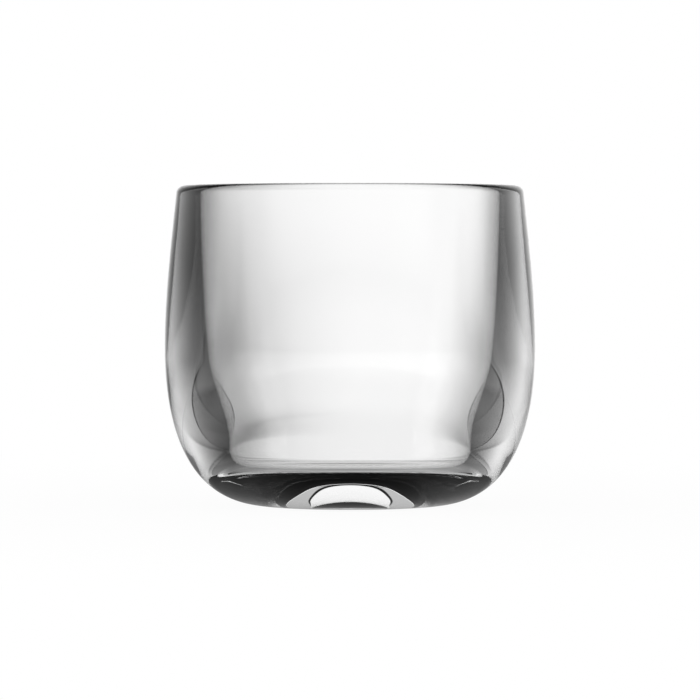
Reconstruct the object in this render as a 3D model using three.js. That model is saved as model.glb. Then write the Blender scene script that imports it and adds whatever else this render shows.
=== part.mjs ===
// A small thick-walled clear glass cup, pressed in one piece and turned about its upright axis.
// Millimetres, +Z up, origin in the middle of the foot ring, on the surface that the cup stands on.
import * as THREE from "three";

// Outside
const HEIGHT = 60.6;
const FOOT_RADIUS = 15.65;
const BELLY_RADIUS = 35.15;
const BELLY_HEIGHT = 30;
const RIM_RADIUS = 32.95;
const RIM_ROUNDING = 1.5;

// Pulls of the outside curve: how far it runs on in its end directions
const HEEL_PULL = 13.3;
const BELLY_PULL_DOWN = 18.5;
const BELLY_PULL_UP = 9.6;
const RIM_PULL_DOWN = 9.6;
const RIM_LEAN = 1.05;

// Inside: a wide bowl, a shoulder and a narrower well
const RIM_WALL = 4.45;
const SHOULDER_TOP_HEIGHT = 27.8;
const BOWL_NARROWING = 1.4;
const BOWL_PULL_DOWN = 12.5;
const BOWL_PULL_UP = 9.4;
const BOWL_SLOPE = 0.11;
const SHOULDER_PULL_DOWN = 6.8;
const SHOULDER_PULL_UP = 3;
const WELL_RADIUS = 23;
const WELL_SLOPE = 0.25;

// Floor of the well: a rounded corner round a shallow dish
const CORNER_HEIGHT = 3.4;
const CORNER_WIDTH = 2.65;
const CORNER_PULL_DOWN = 2.35;
const CORNER_PULL_OUT = 1.2;
const DISH_DEPTH = 1.55;
const DISH_EDGE_PULL = 7.6;
const DISH_CENTRE_PULL = 9.75;

// Base: the foot ring, the hollow inside it and the glass over the middle of that hollow
const FOOT_RING_WIDTH = 2.65;
const PUNT_DEPTH = 0.7;
const PUNT_CENTRE_PULL = 11.4;
const PUNT_EDGE_PULL = 0.8;
const BASE_THICKNESS = 7.2;

// Steps along each curve and around the axis
const LONG_STEPS = 6;
const SHORT_STEPS = 3;
const TURN_STEPS = 64;

// Handle length, as a share of the radius, with which a Bezier curve follows a quarter circle
const QUARTER_ROUND = 0.5523;

const glass = new THREE.MeshStandardMaterial({ color: 0xf2f6f5, roughness: 0.02, metalness: 0 });

function at(radius, height) {
  return new THREE.Vector2(radius, height);
}

// Adds a curve to the outline, from its last point through two handles to an end point.
function curveTo(outline, steps, startHandle, endHandle, end) {
  const curve = new THREE.CubicBezierCurve(outline.at(-1), startHandle, endHandle, end);
  outline.push(...curve.getPoints(steps).slice(1));
}

// Underside, from the middle of the punt to the outer edge of the foot ring.
function addFoot(outline) {
  const puntRadius = FOOT_RADIUS - FOOT_RING_WIDTH;
  outline.push(at(0, PUNT_DEPTH));
  const crown = at(PUNT_CENTRE_PULL, PUNT_DEPTH);
  curveTo(outline, LONG_STEPS, crown, at(puntRadius - PUNT_EDGE_PULL, 0), at(puntRadius, 0));
  outline.push(at(FOOT_RADIUS, 0));
}

// Outside, from the foot up over the belly to where the rim starts to round over.
function addOutside(outline, rimRounding) {
  const rimBase = HEIGHT - rimRounding;
  const belly = at(BELLY_RADIUS, BELLY_HEIGHT);
  const belowBelly = at(BELLY_RADIUS, BELLY_HEIGHT - BELLY_PULL_DOWN);
  const aboveBelly = at(BELLY_RADIUS, BELLY_HEIGHT + BELLY_PULL_UP);
  const belowRim = at(RIM_RADIUS + RIM_LEAN, rimBase - RIM_PULL_DOWN);
  curveTo(outline, 2 * LONG_STEPS, at(FOOT_RADIUS + HEEL_PULL, 0), belowBelly, belly);
  curveTo(outline, LONG_STEPS, aboveBelly, belowRim, at(RIM_RADIUS, rimBase));
}

// Rim: rounded outwards and inwards, with a narrow flat crest between.
function addRim(outline, rimRounding, bowlRadius) {
  const rimBase = HEIGHT - rimRounding;
  const handleHeight = rimBase + rimRounding * QUARTER_ROUND;
  const outerCrest = RIM_RADIUS - rimRounding;
  const innerCrest = bowlRadius + rimRounding;
  const reach = rimRounding * QUARTER_ROUND;
  const outerHandle = at(RIM_RADIUS, handleHeight);
  const innerHandle = at(bowlRadius, handleHeight);
  curveTo(outline, SHORT_STEPS, outerHandle, at(outerCrest + reach, HEIGHT), at(outerCrest, HEIGHT));
  outline.push(at(innerCrest, HEIGHT));
  curveTo(outline, SHORT_STEPS, at(innerCrest - reach, HEIGHT), innerHandle, at(bowlRadius, rimBase));
}

// Inside wall, from the rim down the bowl and the shoulder to the foot of the well's wall.
function addInside(outline, rimRounding, bowlRadius, wellFloor) {
  const rimBase = HEIGHT - rimRounding;
  const shoulderRadius = bowlRadius - BOWL_NARROWING;
  const wellFoot = wellFloor + CORNER_HEIGHT;
  const shoulderTop = at(shoulderRadius, SHOULDER_TOP_HEIGHT);
  const bowlStart = at(bowlRadius, rimBase - BOWL_PULL_DOWN);
  const bowlEnd = at(shoulderRadius + BOWL_SLOPE * BOWL_PULL_UP, SHOULDER_TOP_HEIGHT + BOWL_PULL_UP);
  const startRadius = shoulderRadius - BOWL_SLOPE * SHOULDER_PULL_DOWN;
  const shoulderStart = at(startRadius, SHOULDER_TOP_HEIGHT - SHOULDER_PULL_DOWN);
  const shoulderEnd = at(WELL_RADIUS + WELL_SLOPE * SHOULDER_PULL_UP, wellFoot + SHOULDER_PULL_UP);
  curveTo(outline, SHORT_STEPS, bowlStart, bowlEnd, shoulderTop);
  curveTo(outline, LONG_STEPS, shoulderStart, shoulderEnd, at(WELL_RADIUS, wellFoot));
}

// Floor of the well: a rounded corner and the dish to the axis.
function addFloor(outline, wellFloor) {
  const cornerEnd = WELL_RADIUS - CORNER_WIDTH;
  const startRadius = WELL_RADIUS - WELL_SLOPE * CORNER_PULL_DOWN;
  const cornerStart = at(startRadius, wellFloor + CORNER_HEIGHT - CORNER_PULL_DOWN);
  const dishFloor = wellFloor - DISH_DEPTH;
  const dishStart = at(cornerEnd - DISH_EDGE_PULL, wellFloor);
  const floorHandle = at(cornerEnd + CORNER_PULL_OUT, wellFloor);
  curveTo(outline, SHORT_STEPS, cornerStart, floorHandle, at(cornerEnd, wellFloor));
  curveTo(outline, LONG_STEPS, dishStart, at(DISH_CENTRE_PULL, dishFloor), at(0, dishFloor));
}

function cupOutline() {
  const rimRounding = Math.min(RIM_ROUNDING, RIM_WALL / 2);
  const bowlRadius = RIM_RADIUS - RIM_WALL;
  const wellFloor = PUNT_DEPTH + BASE_THICKNESS + DISH_DEPTH;
  const outline = [];
  addFoot(outline);
  addOutside(outline, rimRounding);
  addRim(outline, rimRounding, bowlRadius);
  addInside(outline, rimRounding, bowlRadius, wellFloor);
  addFloor(outline, wellFloor);
  return outline;
}

const turned = new THREE.LatheGeometry(cupOutline(), TURN_STEPS);
turned.rotateX(Math.PI / 2);

const glassBody = new THREE.Mesh(turned, glass);
glassBody.name = "glass_body";

const cup = new THREE.Group();
cup.add(glassBody);

export default cup;
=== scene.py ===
# A thick-walled clear glass cup on a pale table, in soft light from behind.
import math

import bpy
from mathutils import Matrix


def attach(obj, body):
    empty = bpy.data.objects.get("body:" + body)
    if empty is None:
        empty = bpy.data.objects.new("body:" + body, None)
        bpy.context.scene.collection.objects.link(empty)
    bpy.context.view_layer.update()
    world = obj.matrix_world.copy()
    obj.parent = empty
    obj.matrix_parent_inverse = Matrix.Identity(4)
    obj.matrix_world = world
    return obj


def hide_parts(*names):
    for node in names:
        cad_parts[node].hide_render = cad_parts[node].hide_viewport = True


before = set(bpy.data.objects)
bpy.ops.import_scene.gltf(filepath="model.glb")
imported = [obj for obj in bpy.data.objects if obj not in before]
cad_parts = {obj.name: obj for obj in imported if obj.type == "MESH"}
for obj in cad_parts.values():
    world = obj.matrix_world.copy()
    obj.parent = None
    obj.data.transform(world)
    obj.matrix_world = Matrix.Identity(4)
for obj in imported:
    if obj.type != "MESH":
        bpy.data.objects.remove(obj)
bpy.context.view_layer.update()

MM = 0.001

# Outside of the cup, in millimetres, as in the part's source
HEIGHT = 60.6
FOOT_RADIUS = 15.65
BELLY_RADIUS = 35.15
BELLY_HEIGHT = 30
RIM_RADIUS = 32.95
RIM_ROUNDING = 1.5
HEEL_PULL = 13.3
BELLY_PULL_DOWN = 18.5
BELLY_PULL_UP = 9.6
RIM_PULL_DOWN = 9.6
RIM_LEAN = 1.05

# Inside of the cup
RIM_WALL = 4.45
SHOULDER_TOP_HEIGHT = 27.8
BOWL_NARROWING = 1.4
BOWL_PULL_DOWN = 12.5
BOWL_PULL_UP = 9.4
BOWL_SLOPE = 0.11
SHOULDER_PULL_DOWN = 6.8
SHOULDER_PULL_UP = 3
WELL_RADIUS = 23
WELL_SLOPE = 0.25
CORNER_HEIGHT = 3.4
CORNER_WIDTH = 2.65
CORNER_PULL_DOWN = 2.35
CORNER_PULL_OUT = 1.2
DISH_DEPTH = 1.55
DISH_EDGE_PULL = 7.6
DISH_CENTRE_PULL = 9.75

# Base of the cup
FOOT_RING_WIDTH = 2.65
PUNT_DEPTH = 0.7
PUNT_CENTRE_PULL = 11.4
PUNT_EDGE_PULL = 0.8
BASE_THICKNESS = 7.2

# Steps along each curve and around the axis
LONG_STEPS = 40
SHORT_STEPS = 12
TURN_STEPS = 256
QUARTER_ROUND = 0.5523

# Camera, in metres and degrees
CAMERA_DISTANCE = 0.779
CAMERA_HEIGHT = 0.0479
CAMERA_TILT = 1.36
SENSOR_WIDTH = 36
LENS = 210.9

# Light on the table and the backdrop, in degrees: a lane behind the cup and narrower ones at its sides
LANE_CENTRE = 6.5
LANE_HALF_WIDTH = 28
LANE_FALL = 3
LANE_TOP = 21
LANE_TOP_SOFT = 21
SIDE_HALF_WIDTH = 14
SIDE_FALL = 6

# Table, in metres: painted shade dims the table's glow on the cup's side of a thin painted dark line that
# crosses the lane behind the cup
TABLE_SIZE = 12
TABLE_GAP = 0.00005
DARK_LINE_DISTANCE = 0.0475
DARK_LINE_TURN = -0.08
DARK_LINE_WIDTH = 0.0025
# Share of the glow kept under the painted shade on the cup's side of the dark line
PAINTED_SHADE_SHARE = 0.55
WAIST_DISTANCE = 0.22
WAIST_END = 0.8
WAIST_HALF_WIDTH = 23
WAIST_SPREAD = 0.55
SIDE_START = 0.13
SIDE_SOFT = 0.06
# Painted shadow of the cup in the table's glow in front of it, and where that glow fades out far away
FRONT_SHADOW_RADIUS = 0.06
FRONT_SOFT = 0.04
FRONT_END = 0.3
FRONT_END_SOFT = 1.2
SHADOW_RADIUS = 0.2

# Strengths of the light, and the share of the lit table, with the cup's real shadow on it, that the
# camera sees near the cup as a slight painted shade
BRIGHT = 1.04
DARK = 0.005
AMBIENT = 0.8
SHADOW_SHARE = 0.04

# Glass: slight waves from pressing, in metres, and a scuffed foot
REFRACTION = 1.52
WAVE_LENGTH = 0.016
WAVE_HEIGHT = 0.00002
SCUFF_HEIGHT = 0.0004
SCUFF_LENGTH = 0.003
SCUFF_ROUGHNESS = 0.35


def curve_to(outline, steps, start_handle, end_handle, end):
    start = outline[-1]
    for step in range(1, steps + 1):
        t = step / steps
        s = 1 - t
        weights = (s ** 3, 3 * s * s * t, 3 * s * t * t, t ** 3)
        points = (start, start_handle, end_handle, end)
        radius = sum(weight * point[0] for weight, point in zip(weights, points))
        height = sum(weight * point[1] for weight, point in zip(weights, points))
        outline.append((radius, height))


def add_foot(outline):
    punt_radius = FOOT_RADIUS - FOOT_RING_WIDTH
    outline.append((0, PUNT_DEPTH))
    crown = (PUNT_CENTRE_PULL, PUNT_DEPTH)
    curve_to(outline, LONG_STEPS, crown, (punt_radius - PUNT_EDGE_PULL, 0), (punt_radius, 0))
    outline.append((FOOT_RADIUS, 0))


def add_outside(outline):
    rim_base = HEIGHT - RIM_ROUNDING
    belly = (BELLY_RADIUS, BELLY_HEIGHT)
    below_belly = (BELLY_RADIUS, BELLY_HEIGHT - BELLY_PULL_DOWN)
    above_belly = (BELLY_RADIUS, BELLY_HEIGHT + BELLY_PULL_UP)
    below_rim = (RIM_RADIUS + RIM_LEAN, rim_base - RIM_PULL_DOWN)
    curve_to(outline, 2 * LONG_STEPS, (FOOT_RADIUS + HEEL_PULL, 0), below_belly, belly)
    curve_to(outline, LONG_STEPS, above_belly, below_rim, (RIM_RADIUS, rim_base))


def add_rim(outline, bowl_radius):
    rim_base = HEIGHT - RIM_ROUNDING
    reach = RIM_ROUNDING * QUARTER_ROUND
    outer = RIM_RADIUS - RIM_ROUNDING
    inner = bowl_radius + RIM_ROUNDING
    outer_handle = (RIM_RADIUS, rim_base + reach)
    inner_handle = (bowl_radius, rim_base + reach)
    curve_to(outline, SHORT_STEPS, outer_handle, (outer + reach, HEIGHT), (outer, HEIGHT))
    outline.append((inner, HEIGHT))
    curve_to(outline, SHORT_STEPS, (inner - reach, HEIGHT), inner_handle, (bowl_radius, rim_base))


def add_inside(outline, bowl_radius, well_floor):
    rim_base = HEIGHT - RIM_ROUNDING
    shoulder_radius = bowl_radius - BOWL_NARROWING
    well_foot = well_floor + CORNER_HEIGHT
    bowl_start = (bowl_radius, rim_base - BOWL_PULL_DOWN)
    bowl_end = (shoulder_radius + BOWL_SLOPE * BOWL_PULL_UP, SHOULDER_TOP_HEIGHT + BOWL_PULL_UP)
    start_radius = shoulder_radius - BOWL_SLOPE * SHOULDER_PULL_DOWN
    shoulder_start = (start_radius, SHOULDER_TOP_HEIGHT - SHOULDER_PULL_DOWN)
    shoulder_end = (WELL_RADIUS + WELL_SLOPE * SHOULDER_PULL_UP, well_foot + SHOULDER_PULL_UP)
    curve_to(outline, LONG_STEPS, bowl_start, bowl_end, (shoulder_radius, SHOULDER_TOP_HEIGHT))
    curve_to(outline, LONG_STEPS, shoulder_start, shoulder_end, (WELL_RADIUS, well_foot))


def add_floor(outline, well_floor):
    corner_end = WELL_RADIUS - CORNER_WIDTH
    start_radius = WELL_RADIUS - WELL_SLOPE * CORNER_PULL_DOWN
    corner_start = (start_radius, well_floor + CORNER_HEIGHT - CORNER_PULL_DOWN)
    dish_floor = well_floor - DISH_DEPTH
    dish_start = (corner_end - DISH_EDGE_PULL, well_floor)
    floor_handle = (corner_end + CORNER_PULL_OUT, well_floor)
    curve_to(outline, LONG_STEPS, corner_start, floor_handle, (corner_end, well_floor))
    curve_to(outline, LONG_STEPS, dish_start, (DISH_CENTRE_PULL, dish_floor), (0, dish_floor))


def cup_outline():
    bowl_radius = RIM_RADIUS - RIM_WALL
    well_floor = PUNT_DEPTH + BASE_THICKNESS + DISH_DEPTH
    outline = []
    add_foot(outline)
    add_outside(outline)
    add_rim(outline, bowl_radius)
    add_inside(outline, bowl_radius, well_floor)
    add_floor(outline, well_floor)
    return outline


def turned(name, outline):
    vertices = []
    rings = []
    for radius, height in outline:
        first = len(vertices)
        count = TURN_STEPS if radius > 0 else 1
        for turn in range(count):
            angle = 2 * math.pi * turn / count
            x = radius * math.cos(angle)
            y = radius * math.sin(angle)
            vertices.append((x * MM, y * MM, height * MM))
        rings.append([first + turn % count for turn in range(TURN_STEPS + 1)])
    faces = []
    for near, far in zip(rings, rings[1:]):
        for turn in range(TURN_STEPS):
            corners = (near[turn], near[turn + 1], far[turn + 1], far[turn])
            faces.append(tuple(dict.fromkeys(corners)))
    mesh = bpy.data.meshes.new(name)
    mesh.from_pydata(vertices, [], faces)
    mesh.shade_smooth()
    piece = bpy.data.objects.new(name, mesh)
    bpy.context.scene.collection.objects.link(piece)
    return piece


def put(tree, socket, value):
    if isinstance(value, bpy.types.NodeSocket):
        tree.links.new(value, socket)
    else:
        socket.default_value = value


def calc(tree, operation, first, second=0.0):
    node = tree.nodes.new("ShaderNodeMath")
    node.operation = operation
    put(tree, node.inputs[0], first)
    put(tree, node.inputs[1], second)
    return node.outputs[0]


def soft_step(tree, value, low, high):
    node = tree.nodes.new("ShaderNodeMapRange")
    node.interpolation_type = "SMOOTHSTEP"
    put(tree, node.inputs["Value"], value)
    node.inputs["From Min"].default_value = low
    node.inputs["From Max"].default_value = high
    return node.outputs["Result"]


def pick(tree, switch, off, on):
    node = tree.nodes.new("ShaderNodeMix")
    put(tree, node.inputs["Factor"], switch)
    put(tree, node.inputs["A"], off)
    put(tree, node.inputs["B"], on)
    return node.outputs["Result"]


def split(tree, vector):
    node = tree.nodes.new("ShaderNodeSeparateXYZ")
    tree.links.new(vector, node.inputs[0])
    return node.outputs


# Share of light that falls from 1 in the middle of a lane to a half at its half width.
def falling(tree, off, half_width, fall):
    drop = calc(tree, "POWER", calc(tree, "DIVIDE", off, half_width), fall)
    return calc(tree, "DIVIDE", 1.0, calc(tree, "ADD", drop, 1.0))


# Angle to the right or left of the line through the camera and the cup.
def aside(tree, x, y):
    return calc(tree, "DEGREES", calc(tree, "ARCTAN2", x, calc(tree, "ABSOLUTE", y)))


def lane(tree, x, y, half_width):
    off = calc(tree, "ABSOLUTE", calc(tree, "SUBTRACT", aside(tree, x, y), LANE_CENTRE))
    return falling(tree, off, half_width, LANE_FALL)


def side_light(tree, x, y):
    off = calc(tree, "SUBTRACT", 90.0, calc(tree, "ABSOLUTE", aside(tree, x, y)))
    return falling(tree, off, SIDE_HALF_WIDTH, SIDE_FALL)


# Half width of the lane on the table: least at its waist, and wider towards the cup and the backdrop.
def table_half_width(tree, reach):
    spread = calc(tree, "POWER", calc(tree, "DIVIDE", WAIST_DISTANCE, reach), WAIST_SPREAD)
    near = calc(tree, "MULTIPLY", spread, WAIST_HALF_WIDTH)
    past_waist = soft_step(tree, reach, WAIST_DISTANCE, WAIST_END)
    return calc(tree, "MAXIMUM", near, pick(tree, past_waist, WAIST_HALF_WIDTH, LANE_HALF_WIDTH))


def brightness(tree, share):
    return calc(tree, "ADD", calc(tree, "MULTIPLY", share, BRIGHT - DARK), DARK)


def clear_glass():
    material = bpy.data.materials.new("clear_glass")
    material.use_nodes = True
    tree = material.node_tree
    shader = tree.nodes["Principled BSDF"]
    shader.inputs["Base Color"].default_value = (1, 1, 1, 1)
    shader.inputs["Transmission Weight"].default_value = 1
    shader.inputs["IOR"].default_value = REFRACTION
    place = tree.nodes.new("ShaderNodeTexCoord").outputs["Object"]
    put(tree, shader.inputs["Normal"], waves(tree, place))
    put(tree, shader.inputs["Roughness"], scuffs(tree, place))
    return material


def noise(tree, place, length, detail):
    node = tree.nodes.new("ShaderNodeTexNoise")
    tree.links.new(place, node.inputs["Vector"])
    node.inputs["Scale"].default_value = 1 / length
    node.inputs["Detail"].default_value = detail
    return node.outputs["Fac"]


def waves(tree, place):
    bump = tree.nodes.new("ShaderNodeBump")
    bump.inputs["Distance"].default_value = WAVE_HEIGHT
    put(tree, bump.inputs["Height"], noise(tree, place, WAVE_LENGTH, 1.0))
    return bump.outputs["Normal"]


def scuffs(tree, place):
    low = calc(tree, "SUBTRACT", 1.0, soft_step(tree, split(tree, place)[2], 0.0, SCUFF_HEIGHT))
    wear = calc(tree, "MULTIPLY", low, noise(tree, place, SCUFF_LENGTH, 3.0))
    return calc(tree, "MULTIPLY", wear, SCUFF_ROUGHNESS)


# Share of light in the table's glow: painted shade on the cup's side of a line behind it, a thin painted
# dark line there, and full light beyond.
def painted_shade_and_line(tree, place):
    line = calc(tree, "ADD", calc(tree, "MULTIPLY", place[0], DARK_LINE_TURN), DARK_LINE_DISTANCE)
    past = calc(tree, "SUBTRACT", place[1], line)
    beyond = calc(tree, "GREATER_THAN", past, 0.0)
    off_dark_line = soft_step(tree, calc(tree, "ABSOLUTE", past), DARK_LINE_WIDTH / 2, DARK_LINE_WIDTH)
    return calc(tree, "MULTIPLY", pick(tree, beyond, PAINTED_SHADE_SHARE, 1.0), off_dark_line)


# Painted light that the glass picks up from the table's glow.
def table_light(tree, place):
    squares = calc(tree, "ADD", calc(tree, "POWER", place[0], 2.0), calc(tree, "POWER", place[1], 2.0))
    reach = calc(tree, "SQRT", squares)
    light = lane(tree, place[0], place[1], table_half_width(tree, reach))
    share = calc(tree, "MULTIPLY", light, painted_shade_and_line(tree, place))
    # Painted shadow of the cup in front of it: there the glow is dark close to the cup, then rises, and
    # fades out far away.
    front = soft_step(tree, calc(tree, "MULTIPLY", place[1], -1.0), 0.0, FRONT_SOFT)
    near = soft_step(tree, reach, FRONT_SHADOW_RADIUS, FRONT_SHADOW_RADIUS + FRONT_SOFT)
    far = soft_step(tree, reach, FRONT_END, FRONT_END + FRONT_END_SOFT)
    share = pick(tree, front, share, calc(tree, "SUBTRACT", near, far))
    side_start = soft_step(tree, reach, SIDE_START, SIDE_START + SIDE_SOFT)
    side = calc(tree, "MULTIPLY", side_light(tree, place[0], place[1]), side_start)
    share = calc(tree, "MAXIMUM", share, side)
    # Painted shade round the cup for the camera: a little of the lit table, with its real shadow, fading
    # out over the shadow radius.
    shade = pick(tree, soft_step(tree, reach, 0.0, SHADOW_RADIUS), 1 - SHADOW_SHARE, 1.0)
    return brightness(tree, share), shade


# The table glows: the glass sees the painted light and painted shade of table_light, the camera plain
# white with a little of the lit table near the cup.
def glowing_table():
    material = bpy.data.materials.new("glowing_table")
    material.use_nodes = True
    tree = material.node_tree
    tree.nodes.remove(tree.nodes["Principled BSDF"])
    place = split(tree, tree.nodes.new("ShaderNodeNewGeometry").outputs["Position"])
    light, shade = table_light(tree, place)
    path = tree.nodes.new("ShaderNodeLightPath").outputs
    glow = tree.nodes.new("ShaderNodeEmission")
    put(tree, glow.inputs["Strength"], pick(tree, path["Is Camera Ray"], light, 1.0))
    matt = tree.nodes.new("ShaderNodeBsdfDiffuse")
    in_glass = calc(tree, "MAXIMUM", path["Is Glossy Ray"], path["Is Transmission Ray"])
    seen = calc(tree, "MAXIMUM", in_glass, calc(tree, "MULTIPLY", path["Is Camera Ray"], shade))
    mix = tree.nodes.new("ShaderNodeMixShader")
    put(tree, mix.inputs[0], seen)
    tree.links.new(matt.outputs[0], mix.inputs[1])
    tree.links.new(glow.outputs[0], mix.inputs[2])
    tree.links.new(mix.outputs[0], tree.nodes["Material Output"].inputs["Surface"])
    return material


def table():
    half = TABLE_SIZE / 2
    corners = [(-half, -half, 0), (half, -half, 0), (half, half, 0), (-half, half, 0)]
    mesh = bpy.data.meshes.new("table")
    mesh.from_pydata(corners, [], [(0, 1, 2, 3)])
    mesh.materials.append(glowing_table())
    piece = bpy.data.objects.new("table", mesh)
    piece.location.z = -TABLE_GAP
    bpy.context.scene.collection.objects.link(piece)
    return piece


def backdrop():
    world = bpy.data.worlds.new("backdrop")
    world.use_nodes = True
    tree = world.node_tree
    way = split(tree, tree.nodes.new("ShaderNodeTexCoord").outputs["Generated"])
    height = calc(tree, "DEGREES", calc(tree, "ARCSINE", way[2]))
    below_top = calc(tree, "SUBTRACT", 1.0, soft_step(tree, height, LANE_TOP, LANE_TOP + LANE_TOP_SOFT))
    behind = calc(tree, "GREATER_THAN", way[1], 0.0)
    light = lane(tree, way[0], way[1], LANE_HALF_WIDTH)
    light = calc(tree, "MAXIMUM", calc(tree, "MULTIPLY", light, behind), side_light(tree, way[0], way[1]))
    share = calc(tree, "MULTIPLY", light, below_top)
    path = tree.nodes.new("ShaderNodeLightPath").outputs
    light = pick(tree, path["Is Diffuse Ray"], brightness(tree, share), AMBIENT)
    light = pick(tree, path["Is Camera Ray"], light, 1.0)
    put(tree, tree.nodes["Background"].inputs["Strength"], light)
    tree.nodes["Background"].inputs["Color"].default_value = (1, 1, 1, 1)
    return world


def camera():
    lens = bpy.data.cameras.new("camera")
    lens.sensor_width = SENSOR_WIDTH
    lens.lens = LENS
    lens.clip_start = 0.01
    piece = bpy.data.objects.new("camera", lens)
    piece.location = (0, -CAMERA_DISTANCE, CAMERA_HEIGHT)
    piece.rotation_euler.x = math.radians(90 - CAMERA_TILT)
    bpy.context.scene.collection.objects.link(piece)
    return piece


cup = turned("cup_glass", cup_outline())
cup.data.materials.append(clear_glass())
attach(cup, "root")
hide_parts("glass_body")

table()
scene = bpy.context.scene
scene.world = backdrop()
scene.camera = camera()
scene.view_settings.view_transform = "Standard"
